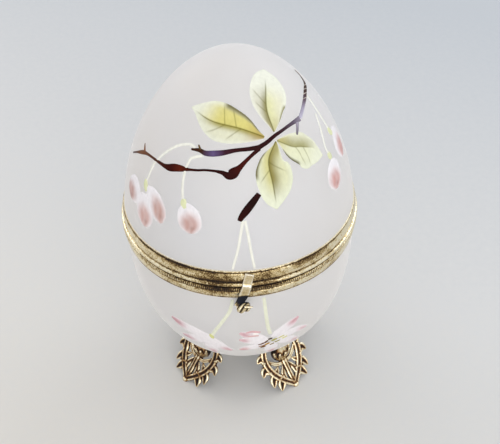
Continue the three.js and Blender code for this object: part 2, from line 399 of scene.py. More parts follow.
def feed(tree, node, inputs):
    """Sets a node's inputs, each to a plain value or from the socket that feeds it."""
    for key, value in inputs.items():
        if isinstance(value, bpy.types.NodeSocket):
            tree.links.new(value, node.inputs[key])
        else:
            node.inputs[key].default_value = value


def add_node(tree, kind, inputs=None, **settings):
    node = tree.nodes.new("ShaderNode" + kind)
    for key, value in settings.items():
        setattr(node, key, value)
    feed(tree, node, inputs or {})
    return node


def new_material(name):
    material = bpy.data.materials.new(name)
    material.use_nodes = True
    return material, material.node_tree, material.node_tree.nodes["Principled BSDF"]


def noise(tree, scale, detail=3.0, roughness=0.5, stretch=(1, 1, 1)):
    """Noise over the piece's own coordinates, scale counted in features a metre."""
    place = add_node(tree, "TexCoord").outputs["Object"]
    spread = add_node(tree, "Mapping", {"Vector": place, "Scale": stretch})
    values = {"Vector": spread.outputs[0], "Scale": scale, "Detail": detail, "Roughness": roughness}
    return add_node(tree, "TexNoise", values).outputs["Fac"]


def maths(tree, operation, first, second):
    return add_node(tree, "Math", {0: first, 1: second}, operation=operation).outputs[0]


def ramp(tree, value, stops):
    """Colour by value; each stop is a place and a colour code."""
    node = add_node(tree, "ValToRGB", {"Fac": value})
    elements = node.color_ramp.elements
    stops = list(stops)
    while len(elements) < len(stops):
        elements.new(0.5)
    for element, (place, colour) in zip(elements, stops):
        element.position = place
        element.color = (*tone(colour), 1)
    return node.outputs["Color"]


def bump(tree, height, distance, strength=1.0):
    values = {"Height": height, "Distance": distance * MM, "Strength": strength}
    return add_node(tree, "Bump", values).outputs[0]


def spread_range(tree, value, low, high):
    values = {"Value": value, "From Min": 0.0, "From Max": 1.0, "To Min": low, "To Max": high}
    return add_node(tree, "MapRange", values).outputs[0]


def swing(tree, value, amount):
    """How far the value lies from a half, times the amount."""
    return maths(tree, "MULTIPLY", maths(tree, "SUBTRACT", value, 0.5), amount)


def worn_and_shaded_metal(name, tones, mottling, patch_scale, gloss):
    """Gilt or brass that runs from bright to dark by the mesh's grime_and_shade value, which holds patina
    and painted shade, and by mottling.
    """
    material, tree, shader = new_material(name)
    grime_and_shade = add_node(tree, "Attribute", attribute_name="grime_and_shade").outputs["Fac"]
    patches = noise(tree, patch_scale, 5, 0.62)
    grain = noise(tree, patch_scale * 4.5, 3, 0.6)
    blotched = maths(tree, "ADD", grime_and_shade, swing(tree, patches, mottling * 0.7))
    wear_and_shade = maths(tree, "ADD", blotched, swing(tree, grain, mottling * 1.4))
    looks = {
        "Base Color": ramp(tree, wear_and_shade, zip(WEAR_AND_SHADE_STEPS, tones)),
        "Roughness": spread_range(tree, wear_and_shade, *gloss),
        "Metallic": spread_range(tree, wear_and_shade, 1.0, 0.55),
        "Normal": bump(tree, grain, 0.05, 0.5),
    }
    feed(tree, shader, looks)
    return material


def satin_glass(name):
    """Acid-etched glass: milky, with a fine tooth and faint clouding in its thickness."""
    material, tree, shader = new_material(name)
    clouds = noise(tree, 14, 2, 0.5)
    tooth = noise(tree, 5200, 2, 0.6)
    looks = {
        "Base Color": ramp(tree, clouds, [(0.3, "efeeef"), (0.7, "f4efe9")]),
        "Roughness": spread_range(tree, tooth, 0.42, 0.58),
        "Normal": bump(tree, tooth, 0.012, 0.35),
        "IOR": 1.48,
        "Sheen Weight": 0.45,
        "Sheen Roughness": 0.4,
        "Sheen Tint": (1.0, 0.97, 0.94, 1),
        "Transmission Weight": 0.36,
    }
    feed(tree, shader, looks)
    return material


def painted_enamel(name):
    """Thin glossy enamel in the mesh's own colours, laid on with a brush."""
    material, tree, shader = new_material(name)
    colour = add_node(tree, "Attribute", attribute_name="paint").outputs["Color"]
    strokes = noise(tree, 900, 4, 0.6, (1, 1, 0.35))
    grain = noise(tree, 3600, 2, 0.5)
    thickness = add_node(
        tree,
        "MapRange",
        {"Value": strokes, "From Min": 0.3, "From Max": 0.7, "To Min": 0.55, "To Max": 1.3},
    )
    layers = {"Fac": 0.16, "Color1": colour, "Color2": thickness.outputs[0]}
    looks = {
        "Base Color": add_node(tree, "MixRGB", layers, blend_type="MULTIPLY").outputs[0],
        "Roughness": spread_range(tree, grain, 0.34, 0.52),
        "Normal": bump(tree, strokes, 0.03, 0.4),
        "Specular IOR Level": 0.06,
    }
    feed(tree, shader, looks)
    return material


def cement(name):
    """Pale plaster that beds the glass in its rim."""
    material, tree, shader = new_material(name)
    grain = noise(tree, 2500, 4, 0.6)
    looks = {
        "Base Color": ramp(tree, grain, [(0.3, "b9ac90"), (0.65, "e4ddcb")]),
        "Roughness": 0.8,
        "Normal": bump(tree, grain, 0.06, 0.6),
    }
    feed(tree, shader, looks)
    return material


# How much patina and painted shade each of a metal's tones stands for, from bright to dark, and the tones
WEAR_AND_SHADE_STEPS = (0.0, 0.28, 0.55, 0.95)
GILT_TONES = ("f8eed0", "c7b07e", "654c29", "1a0b05")
ANTIQUE_TONES = ("fbefcc", "b08a58", "4c2c16", "100704")
BRASS_TONES = ("f7efdc", "cfbd94", "6b5a3a", "0d1220")


# ---------------------------------------------------------------- glass


def glass_shell(name, outside, rim_radius, rim_height, inside, cement_line, body, materials):
    """A shell of glass from its outer pole to its inner one, and the cement at its metal rim."""
    profile = np.vstack([outside, [(RIM_REBATE, outside[-1][1]), (rim_radius, rim_height)], inside])
    shape = Shape().add(*lathe(profile, GLASS_SEGMENTS, closed=False))
    shape.add(*lathe(cement_line, GLASS_SEGMENTS), material=1)
    mesh = plain_mesh(name, shape, weld=True)
    return piece(mesh, materials, body, [body + "_glass"], 30)


def build_glass():
    materials = [satin_glass("satin_glass"), cement("cement")]
    bedding = 0.25  # how far the glass runs down into its rim
    edge = 1.25  # distance from the seam to the ground edge of the glass
    lid_outside = egg_curve(LID_RIM_TOP - bedding, EGG_TOP, 0, 72)
    lid_inside = egg_curve(SEAM + edge, EGG_TOP, WALL, 56)[::-1]
    line = LID_RIM_TOP + 0.02
    bead = arc((egg_radius(line) - 0.02, line), 0.24, 0, 330, 11)
    glass_shell("lid_shell", lid_outside, RIM_REBATE, SEAM + edge, lid_inside, bead, "lid", materials)
    base_outside = egg_curve(EGG_BOTTOM, BASE_RIM_FOOT + bedding, 0, 72)
    bowl = egg_curve(EGG_BOTTOM, WIDEST, WALL, 56)[::-1]
    base_inside = np.vstack([[(EGG_RADIUS - WALL, SEAM - edge)], bowl])
    line = BASE_RIM_FOOT - 0.02
    bead = arc((egg_radius(line) - 0.05, line), 0.2, 0, 330, 11)
    glass_shell("base_shell", base_outside, RIM_REBATE, SEAM - edge, base_inside, bead, "base", materials)


# ---------------------------------------------------------------- rims

RIM_INNER = 41.3
LIP = (38.2, 38.8)
LIP_HEIGHT = 2.55
FLANGE = 0.95
SEAM_GAP = 0.15
MILLING = 372  # teeth round the milled bead
MILLING_DEPTH = 0.3
LID_RIM_SEGMENTS = 360
TOOTH_SEGMENTS = 4
STREAK_KNOTS = 150  # places round a rim where its streaks turn
STREAK_DEPTH = 0.13


def rim_angles(segments):
    """Azimuth in degrees of each step round a rim, from -180 to 180."""
    azimuth = np.linspace(0, 360, segments, endpoint=False)
    return np.where(azimuth > 180, azimuth - 360, azimuth)


def from_seam(places):
    """Turns heights above the seam into heights above the ground."""
    return np.array(places) + np.array([0, SEAM, 0])


def lid_rim_profile():
    """(radius, height, grime_and_shade) places, from the top of the rim round to its inside."""
    outside = [
        (41.5, 6.5, 0.3),
        (41.72, 6.46, 0.2),
        (41.85, 6.3, 0.25),
        (41.82, 6.08, 0.75),
        (41.8, 5.95, 0.85),
        (41.95, 5.8, 0.4),
        (42.1, 5.5, 0.12),
        (42.28, 4.8, 0.1),
        (42.42, 4.0, 0.12),
        (42.5, 3.2, 0.15),
        (42.48, 2.7, 0.2),
        (42.38, 2.45, 0.35),
        (42.12, 2.25, 0.85),
        (42.08, 2.1, 0.9),
        (42.25, 1.9, 0.5),
    ]
    bead = [(r, z, 0.02) for r, z in arc((42.4, 1.1), 0.7, 60, -55, 8)]
    inside = [
        # Painted shade: darker at the seam gap under the bead.
        (42.6, 0.25, 0.6),
        (42.3, SEAM_GAP, 0.8),
        (LIP[1], SEAM_GAP, 0.25),
        (LIP[0], SEAM_GAP, 0.2),
        (LIP[0], LIP_HEIGHT, 0.3),
        (LIP[1], LIP_HEIGHT, 0.3),
        (LIP[1], FLANGE, 0.4),
        (RIM_INNER, FLANGE, 0.5),
        (RIM_INNER, 6.4, 0.5),
    ]
    return from_seam(outside + bead + inside)


def base_rim_profile():
    """As for the lid, from the inside round to the foot, and where its bead starts and how long it is."""
    foot = BASE_RIM_FOOT - SEAM
    outside = [
        (RIM_INNER, -FLANGE, 0.5),
        (LIP[1], -FLANGE, 0.4),
        (LIP[1], -LIP_HEIGHT, 0.3),
        (LIP[0], -LIP_HEIGHT, 0.3),
        (LIP[0], -SEAM_GAP, 0.2),
        (LIP[1], -SEAM_GAP, 0.25),
        # Painted shade: darker at the seam gap.
        (42.3, -SEAM_GAP, 0.8),
    ]
    bead = [(r, z, 0.3) for r, z in arc((42.4, -1.0), 0.7, 60, -60, 10)]
    lower = [
        (42.3, -1.85, 0.6),
        (42.2, -2.02, 0.75),
        (42.4, -2.2, 0.5),
        (42.58, -2.45, 0.12),
        (42.62, -3.2, 0.1),
        (42.6, -4.2, 0.15),
        (42.52, -4.5, 0.3),
        # Painted shadow: a dark line along the lower edge, above the foot.
        (42.36, -4.66, 0.9),
        (42.42, foot + 0.5, 0.5),
        (42.4, foot + 0.25, 0.3),
        (42.2, foot, 0.5),
        (RIM_INNER, foot, 0.8),
    ]
    return from_seam(outside + bead + lower), (len(outside), len(bead))


def rim_wear(azimuth, height):
    """Patina by place: darkest beside the clasp, with patches of wear elsewhere."""
    level = height - SEAM
    left = hump(azimuth, -12, 13) * (0.55 * hump(level, 2.6, 2.4) + 0.6 * hump(level, -1.2, 2.0))
    left = left + hump(azimuth, -26, 14) * 0.6 * hump(level, 5.7, 0.9)
    right = hump(azimuth, 12, 10) * (0.6 * hump(level, 0.4, 1.7) + 0.35 * hump(level, 4.6, 1.4))
    top_left = hump(azimuth, -56, 22) * 0.4 * hump(level, 6.1, 0.4) - 0.06 * ease(-35, -60, azimuth)
    top_right = hump(azimuth, 33, 9) * 0.6 * hump(level, 5.2, 1.2) - 0.3 * ease(40, 70, azimuth)
    drift = 0.12 * np.sin(np.radians(azimuth * 5 + 40)) * np.sin(np.radians(azimuth * 13))
    return left + right + top_left + top_right + drift


def rim_streaks(segments, rows, seed):
    """Patina drawn out along a rim: each row of its profile drifts slowly round it."""
    knots = np.random.default_rng(seed).uniform(-1, 1, (STREAK_KNOTS, rows))
    places = np.arange(segments) * len(knots) / segments
    closed = np.vstack([knots, knots[:1]])
    drift = [np.interp(places, np.arange(len(closed)), closed[:, row]) for row in range(rows)]
    return STREAK_DEPTH * np.stack(drift, 1)


def rim_band(name, profile, seed, milling, body, gilt):
    """A rim turned from its profile; milling gives how deep each place is cut and how much darker it is
    made there.
    """
    depth, groove_darkening = milling
    segments = len(depth)
    grime_and_shade = profile[None, :, 2] + rim_wear(rim_angles(segments)[:, None], profile[None, :, 1])
    grime_and_shade = grime_and_shade + groove_darkening + rim_streaks(segments, len(profile), seed)
    shape = Shape()
    shape.add(*lathe(profile[:, :2], segments, -depth), np.clip(grime_and_shade, 0, 1).reshape(-1, 1))
    shape_piece(name, shape, "grime_and_shade", [gilt], body, [body + "_rim"], 50)


def build_rims():
    gilt = worn_and_shaded_metal("pale_gilt", GILT_TONES, 1.1, 480, (0.26, 0.6))
    profile = lid_rim_profile()
    plain = np.zeros((LID_RIM_SEGMENTS, len(profile)))
    rim_band("lid_rim_band", profile, 5, (plain, plain), "lid", gilt)

    profile, (start, count) = base_rim_profile()
    steps = np.arange(MILLING * TOOTH_SEGMENTS)
    tooth = (0.5 - 0.5 * np.cos(steps * 2 * math.pi / TOOTH_SEGMENTS))[:, None]
    share = np.zeros((1, len(profile)))
    share[0, start : start + count] = np.sin(np.linspace(0.15, math.pi - 0.15, count))
    # The milled bead is made darker in the grooves between its teeth and lighter on the teeth.
    milling = (MILLING_DEPTH * tooth * share, (0.95 * tooth**2 - 0.35) * share)
    rim_band("base_rim_band", profile, 6, milling, "base", gilt)
    return gilt


# ---------------------------------------------------------------- clasp

CLASP_LEAN = 13.0
CLASP_PIVOT = np.array([0, 0, 77.0])
CLASP_SHIFT = np.array([1.2, 0, 0])
STRAP_WIDTH = 3.2
STRAP_THICKNESS = 0.8
STRAP_LINE = [
    # how far aside, out and up
    (0, 42.75, 82.5),
    (0, 43.2, 78.6),
    (0, 43.8, 77.6),
    (-0.1, 43.8, 74.6),
    (-0.5, 44.1, 72.4),
    (-1.5, 45.2, 69.4),
]
ROLL_CENTRE = (0.5, -45.7, 69.5)
ROLL_RADIUS = 1.65
ROLL_HALF = 2.3
ROLL_TILT = 33.0
RIDGES = 4
RIDGE_TWIST = 2


def rounded_section(width, thickness, bevel):
    """A rectangle with bevelled corners as (side, out) pairs."""
    x, y = width / 2, thickness / 2
    corners = [(x, y - bevel), (x - bevel, y), (bevel - x, y), (-x, y - bevel)]
    return np.array(corners + [(-x, bevel - y), (bevel - x, -y), (x - bevel, -y), (x, bevel - y)])


def clasp_strap():
    line = spline([(aside, -reach, height) for aside, reach, height in STRAP_LINE], 40)
    along = unit(np.gradient(line, axis=0))
    side = unit(np.cross(np.array([0, -1.0, 0]), along))
    taper = 1 - 0.15 * ease(73.5, 69.5, line[:, 2])
    section = rounded_section(STRAP_WIDTH, STRAP_THICKNESS, 0.25)
    return tube(line, side, np.cross(along, side), taper, section)


def clasp_roll():
    """The thumb roll: a bar across the strap's end, with ridges slanting round it."""
    across = np.linspace(-1, 1, 61)[:, None]
    turn = np.linspace(0, 2 * math.pi, 48, endpoint=False)[None, :]
    groove = 0.5 - 0.5 * np.cos(RIDGE_TWIST * math.pi * across + RIDGES * turn)
    radius = ROLL_RADIUS * (1 - 0.3 * groove**2) * (1 - 0.4 * np.abs(across) ** 6)
    spots = np.stack([ROLL_HALF * across + 0 * turn, radius * np.cos(turn), radius * np.sin(turn)], -1)
    placed = turned(spots.reshape(-1, 3), -ROLL_TILT, 1) + np.array(ROLL_CENTRE)
    return placed, capped_faces(*spots.shape[:2])


def clasp_spur():
    centre = spline([(0.4, -46.7, 71.0), (2.0, -46.8, 71.3), (3.3, -46.7, 71.4)], 14)
    along = unit(np.gradient(centre, axis=0))
    side = np.broadcast_to([0, 1.0, 0], centre.shape)
    turn = np.linspace(0, 2 * math.pi, 12, endpoint=False)
    sizes = 0.55 * (1 - 0.6 * np.linspace(0, 1, len(centre)))
    return tube(centre, side, np.cross(along, side), sizes, np.column_stack([np.cos(turn), np.sin(turn)]))


def lean_clasp(points):
    """Tips the whole clasp sideways about its middle, as the used one is."""
    return turned(points - CLASP_PIVOT, CLASP_LEAN, 1) + CLASP_PIVOT + CLASP_SHIFT


def build_clasp():
    brass = worn_and_shaded_metal("bright_brass", BRASS_TONES, 0.35, 420, (0.18, 0.5))
    shape = Shape()
    for points, faces in (clasp_strap(), clasp_roll(), clasp_spur()):
        shape.add(points, faces)
    shape.points = [lean_clasp(points) for points in shape.points]
    mesh = cast("clasp_strap", shape, 0.11, [], 1)
    points = mesh_points(mesh)
    level = points[:, 2]
    strap = ease(45.4, 44.9, -points[:, 1])
    # The strap is blue-black below 74 mm.
    blue_black_band = ease(74.2, 73.4, level) * strap
    roll = 1 - strap
    # Two darker bands along the strap, near its top and its middle.
    added_darkness = 0.1 * hump(level, 81.5, 2.0) + 0.12 * hump(level, 75.5, 1.6)
    # Painted shade in the clasp's hollows and painted highlight on its edges; the roll is darker all over.
    grime_and_shade = 0.18 + added_darkness + (0.3 + 0.15 * roll) * hollowness(mesh, 14) + 1.0 * blue_black_band + 0.36 * roll
    point_values(mesh, "grime_and_shade", np.clip(grime_and_shade, 0, 1.2))
    piece(mesh, [brass], "lid", ["clasp"], 70)
    return brass


# ---------------------------------------------------------------- hinge

HINGE_WIDTH = 14.0
KNUCKLE_RADIUS = 1.7
PIN_RADIUS = 0.75
BORE_RADIUS = 0.9
LID_KNUCKLE_HALF = 2.3
HINGE_GAP = 0.3
LEAF_THICKNESS = 0.8
LEAF_FACE = BEAD_RADIUS + HINGE_GAP


def across_hinge(profile, sides=48):
    """A closed (radius, place) profile turned about the hinge's own axis."""
    points, faces = lathe(profile, sides)
    swapped = points[..., [2, 1, 0]]
    return swapped.reshape(-1, 3) + np.array([0, HINGE_Y, SEAM]), faces


def knuckle(start, end):
    chamfer = 0.2
    return across_hinge(
        [
            (0.01, start),
            (KNUCKLE_RADIUS - chamfer, start),
            (KNUCKLE_RADIUS, start + chamfer),
            (KNUCKLE_RADIUS, end - chamfer),
            (KNUCKLE_RADIUS - chamfer, end),
            (0.01, end),
        ]
    )


def rim_space():
    top, low = SEAM + 10, SEAM - 10
    profile = [(1, top), (42.8, top), (42.8, SEAM + 2.2), (LEAF_FACE, SEAM + 1.8)]
    profile += [(LEAF_FACE, SEAM - 1.8), (42.95, SEAM - 2.2), (42.95, low), (1, low)]
    return Shape().add(*lathe(profile, 360))


def hinge_leaf(name, side, knuckles, height, body, gilt):
    """A leaf above or below the seam, soldered to its rim, with its knuckles round the pin."""
    clear = KNUCKLE_RADIUS + HINGE_GAP
    levels = sorted((SEAM + side * clear, SEAM + side * height))
    shape = Shape()
    back = LEAF_FACE - 1.5
    half = HINGE_WIDTH / 2
    shape.add(*block((-half, back, levels[0]), (half, LEAF_FACE + LEAF_THICKNESS, levels[1])))
    stem_out = HINGE_Y - PIN_RADIUS
    stems = sorted((SEAM, SEAM + side * (clear + 0.5)))
    for start, end in knuckles:
        shape.add(*block((start, LEAF_FACE, stems[0]), (end, stem_out, stems[1])))
        shape.add(*knuckle(start, end))
    bore = across_hinge([(0.01, -12), (BORE_RADIUS, -12), (BORE_RADIUS, 12), (0.01, 12)])
    mesh = cast(name, shape, 0.14, [rim_space(), Shape().add(*bore)], 2)
    # Darker in its hollows: patina and painted shade.
    grime_and_shade = 0.25 + 0.45 * hollowness(mesh, 20)
    point_values(mesh, "grime_and_shade", np.clip(grime_and_shade, 0, 1))
    piece(mesh, [gilt], body, ["hinge_leaf_" + body], 60)


def build_hinge(gilt, brass):
    half = LID_KNUCKLE_HALF
    end = HINGE_WIDTH / 2
    hinge_leaf("hinge_upper_leaf", 1, [(-half, half)], 5.6, "lid", gilt)
    near = half + HINGE_GAP
    hinge_leaf("hinge_lower_leaf", -1, [(-end, -near), (near, end)], 4.9, "base", gilt)
    edge = end + HINGE_GAP
    head = [(0.005, 0.7), (0.6, 0.62), (1.0, 0.4), (1.15, 0.12), (1.15, 0), (PIN_RADIUS, 0)]
    profile = [(radius, -edge - rise) for radius, rise in head]
    profile += [(radius, edge + rise) for radius, rise in reversed(head)]
    shape = Shape().add(*across_hinge(profile, 40), 0.25)
    shape_piece("hinge_rivet", shape, "grime_and_shade", [brass], "base", ["hinge_pin"], 35)


# ---------------------------------------------------------------- feet

TOE_REACH = 31.5
SOLE_HEIGHT = 0.8
LEAN = (1.05, 0.02)  # how fast the leaf leans in above its sole, and how that slows
BOSS_Y = -20.9
BOSS_SPREAD = 4.9
BOSS_LOW = 8.6
PETAL_TURN = 36.0
FOOT_TARNISH = {"front_left": 0.16, "front_right": 0.0, "back_right": 0.06, "back_left": 0.1}
FRONT = unit([0, -1, 0.85])
LEAF_BARS = [
    # (across, height) points, half-widths from start to tip, groove depth
    ([(0, 0.3), (0, 4.5), (0, 9.8)], (1.15, 1.1, 1.25), 0.42),
    ([(0, 0.5), (3.9, 3.5), (6.7, 6.6), (8.1, 10.2), (7.9, 13.8), (6, 18.4)], (1.2, 1.45, 1.5, 1.35), 0.5),
    ([(0.3, 8.3), (3.4, 8.8), (5.6, 10.2), (7.8, 12.2)], (0.9, 0.8, 0.75), 0.3),
]
INNER_LEAVES = [
    [(3.2, 3.2), (2.7, 5.2), (1.3, 7.6)],
    [(6.4, 6.4), (5, 7), (3.6, 8)],
]
SPIKES = [
    # points from the bar outwards, and size
    ([(3.2, 3.4), (4.9, 3.3), (6.8, 1.0)], 1.25),
    ([(5.6, 5.8), (7.8, 5.2), (9.1, 2.9)], 1.1),
    ([(7.2, 8.6), (9.8, 9.2), (11.5, 7.5)], 1.2),
    ([(7.7, 12.4), (9.6, 13.7), (11.6, 13.0)], 1.15),
]


def leaf_place(pairs):
    """Points of the foot's leaf, which leans in from its toe under the glass."""
    across, height = np.asarray(pairs, float).T
    rise = np.maximum(0, height - SOLE_HEIGHT)
    lean = LEAN[0] * rise - LEAN[1] * rise**2
    return np.stack([across, -(TOE_REACH - lean), height], -1)


def leaf_bar(pairs, sizes, groove=0.0, flat=0.8, steps=28, sides=20):
    centre = spline(leaf_place(pairs), steps + 1)
    along = unit(np.gradient(centre, axis=0))
    side = unit(np.cross(along, FRONT))
    out = np.cross(side, along)
    turn = np.linspace(0, 2 * math.pi, sides, endpoint=False)
    x, y = np.cos(turn), np.sin(turn) * flat
    y = y - groove * hump(x, 0, 0.5) * (y > 0)
    return tube(centre, side, out, eased_values(sizes, steps + 1), np.column_stack([x, y]))


def mirrored(pairs):
    return [(-across, height) for across, height in pairs]


def boss():
    """The bud under the glass: a cup on a neck, with petals round its outer side."""
    middle = leaf_place([(0, 11.8)])[0] + np.array([0, 0.4, 0])
    turns = [(0.3, -3.8), (2.9, -2.7), (4.0, 0.6), (2.8, 4.2), (2.7, 7.5), (3.5, 11)]
    outline = through(turns, np.linspace(0, 5, 26))
    points, faces = lathe(np.vstack([outline, [(0.02, 11), (0.02, -3.8)]]), 32)
    forms = [(points.reshape(-1, 3) * np.array([1, 0.8, 1]) + middle, faces)]
    for petal in range(-2, 3):
        turn = petal * PETAL_TURN
        size = 1 - 0.1 * abs(petal)
        reach = np.array([3.7 * math.sin(math.radians(turn)), -3.0 * math.cos(math.radians(turn)), 0.9])
        forms.append(ball(middle + reach, (0.95 * size, 0.75, 2.1 * size), 16, turn))
        tip = reach * np.array([1.12, 1.16, 1]) + np.array([0, 0, 1.5])
        forms.append(ball(middle + tip, (0.62 * size, 0.6, 0.62), 0, turn, 8, 12))
    return forms


def foot_shape():
    forms = list(boss())
    pairs, sizes, groove = LEAF_BARS[0]
    forms.append(leaf_bar(pairs, sizes, groove, 0.9))
    for pairs, sizes, groove in LEAF_BARS[1:]:
        forms.append(leaf_bar(pairs, sizes, groove))
        forms.append(leaf_bar(mirrored(pairs), sizes, groove))
    for pairs in INNER_LEAVES:
        for line in (pairs, mirrored(pairs)):
            forms.append(leaf_bar(line, (1.2, 1.15, 0.3), 0.4, 0.7, 16, 16))
    for pairs, size in SPIKES:
        sizes = [size * width for width in (1.7, 1.65, 1.25, 0.25)]
        for line in (pairs, mirrored(pairs)):
            forms.append(leaf_bar(line, sizes, 0.55, 0.6, 18, 20))
    toe = np.array([0, -TOE_REACH, 0])
    sole = [(0.02, -0.6), (1.3, -0.6), (1.35, 0.5), (1.1, 1.0), (0.7, 1.25), (0.02, 1.3)]
    points, faces = lathe(sole, 28)
    forms.append((points.reshape(-1, 3) + toe, faces))
    shape = Shape()
    for points, faces in forms:
        shape.add(points, faces)
    return shape


def clear_space():
    """What the feet must stay out of: the glass above them and the ground."""
    gap = 0.06
    curve = egg_curve(EGG_BOTTOM, WIDEST, -gap, 40)
    curve[0] = (0.02, curve[0][1])
    egg = Shape().add(*lathe(np.vstack([curve, [(0.02, WIDEST)]]), 160))
    ground = Shape().add(*block((-60, -60, -20), (60, 60, 0)))
    return [egg, ground]


def build_feet():
    shape = foot_shape()
    mesh = cast("foot", shape, 0.2, clear_space(), 2)
    points, normals = mesh_points(mesh), mesh_normals(mesh)
    # Patina and painted shade in the hollows and painted highlight on the ridges; painted shade on faces
    # turned in under the egg and on faces turned away from the front.
    hollows = hollowness(mesh, 9) * 0.5 + hollowness(mesh, 40) * 0.35
    inward_shade = np.clip(normals @ np.array([0, 1, -0.2]), 0, 1)
    flank_shade = 1 - np.clip(normals @ FRONT, 0, 1)
    foot_grime_and_shade = 0.42 + 1.0 * hollows + 0.4 * inward_shade + 0.6 * flank_shade
    # Painted shade: the boss's cup is dark on its inner side, lighter where its petals face out.
    cup = (np.hypot(points[:, 0], points[:, 1] - BOSS_Y) < BOSS_SPREAD) & (points[:, 2] > BOSS_LOW)
    shaded_side = ease(-0.85, 0.05, normals[:, 1] - 0.3 * normals[:, 0])
    foot_grime_and_shade = np.where(cup, 0.1 + 0.95 * shaded_side + 0.9 * hollows, foot_grime_and_shade)
    gilt = worn_and_shaded_metal("antique_gilt", ANTIQUE_TONES, 0.45, 420, (0.22, 0.55))
    for place, added_darkness in FOOT_TARNISH.items():
        toe = TOES["toe_" + place]
        turn = math.degrees(math.atan2(toe[0], -toe[1]))
        copy = mesh.copy()
        copy.name = "leaf_foot_" + place
        spun = turned(points, turn, 2) * MM
        copy.vertices.foreach_set("co", spun.astype(np.float32).ravel())
        point_values(copy, "grime_and_shade", np.clip(foot_grime_and_shade + added_darkness, 0, 1.1))
        piece(copy, [gilt], "base", ["foot_" + place], 60)
    bpy.data.meshes.remove(mesh)


# ---------------------------------------------------------------- painting


class Patch:
    """A thin closed patch of enamel along (azimuth, height) places, with its own half-widths."""

    def __init__(self, places, left, right, grain=BROAD_GRAIN, thickness=ENAMEL):
        rough = spline(egg_places(places), 60)
        self.length = float(np.linalg.norm(np.diff(rough, axis=0), axis=1).sum())
        widest = max(left) + max(right)
        rows = max(6, int(self.length / grain))
        columns = max(6, int(widest / grain))
        centre, normal = onto_egg(spline(egg_places(places), rows + 1))
        leftward = np.cross(normal, unit(np.gradient(centre, axis=0)))
        self.along = np.broadcast_to(np.linspace(0, 1, rows + 1)[:, None], (rows + 1, columns + 1))
        self.across = np.broadcast_to(np.linspace(1, -1, columns + 1)[None, :], self.along.shape)
        wide = [np.maximum(eased_values(values, rows + 1), 0.03)[:, None] for values in (left, right)]
        self.offset = self.across * np.where(self.across > 0, *wide)
        skin, outward = onto_egg(centre[:, None] + leftward[:, None] * self.offset[..., None])
        ends = np.minimum(self.along, 1 - self.along) * self.length / 0.35
        crown = (1 - np.abs(self.across) ** 5) * np.clip(ends, 0, 1)
        lift = -0.02 + (thickness + 0.02) * crown
        self.top = skin + outward * lift[..., None]
        self.bottom = skin - outward * ENAMEL_ROOT

    def faces(self):
        rows, columns = self.along.shape
        top = grid_faces(rows, columns)
        bottom = top[:, ::-1] + rows * columns
        index = np.arange(rows * columns).reshape(rows, columns)
        edge = np.concatenate([index[0], index[1:, -1], index[-1, -2::-1], index[-2:0:-1, 0]])
        following = np.roll(edge, -1)
        under = rows * columns
        skirt = np.stack([edge, edge + under, following + under, following], -1)
        return np.vstack([top, bottom, skirt])

    def add_to(self, shape, colour):
        points = np.vstack([self.top.reshape(-1, 3), self.bottom.reshape(-1, 3)])
        colours = np.broadcast_to(colour, self.along.shape + (3,)).reshape(-1, 3)
        shape.add(points, self.faces(), np.vstack([colours, colours]))


def vein(patch, side, start, slope, reach):
    """How strongly a side vein marks each place of a leaf: it leaves the fold at a share along it."""
    out = np.abs(patch.offset)
    gap = (patch.along - start) * patch.length - slope * out
    line = hump(gap / math.hypot(1, slope), 0, 0.2)
    return line * (patch.across * side > 0) * ease(reach, reach * 0.6, out)


